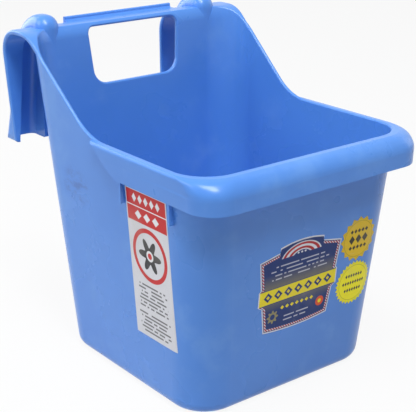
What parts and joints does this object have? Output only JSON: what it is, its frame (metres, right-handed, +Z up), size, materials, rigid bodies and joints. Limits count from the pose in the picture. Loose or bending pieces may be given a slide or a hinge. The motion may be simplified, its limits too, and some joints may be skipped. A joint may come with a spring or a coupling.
{
  "type": "hook over feeder",
  "caption": "One-piece moulded plastic feed bucket with a rolled front rim and a high back that bends into a wide hook over a board, hand-hold window, ribs and printed films",
  "frame": {"origin": "Middle of the tub's base, on the surface that it stands on", "axes": "+X across the feeder, to the right of someone who faces its front, with the mirror plane at X = 0; +Y from the front rim to the hook and the board that carries it; +Z up, along the tub's height"},
  "size_m": [0.2756, 0.3791, 0.3535],
  "materials": {
    "blue_polyethylene": "semi-gloss moulded polyethylene with faint scuffs",
    "side_label_film": "printed vinyl film",
    "front_label_film": "printed vinyl film",
    "gold_sticker_film": "printed vinyl film",
    "yellow_sticker_film": "printed vinyl film"
  },
  "bodies": {
    "root": {"feeder_body": "blue_polyethylene", "side_label": "side_label_film", "front_label": "front_label_film", "upper_burst_sticker": "gold_sticker_film", "lower_burst_sticker": "yellow_sticker_film"}
  },
  "joints": []
}
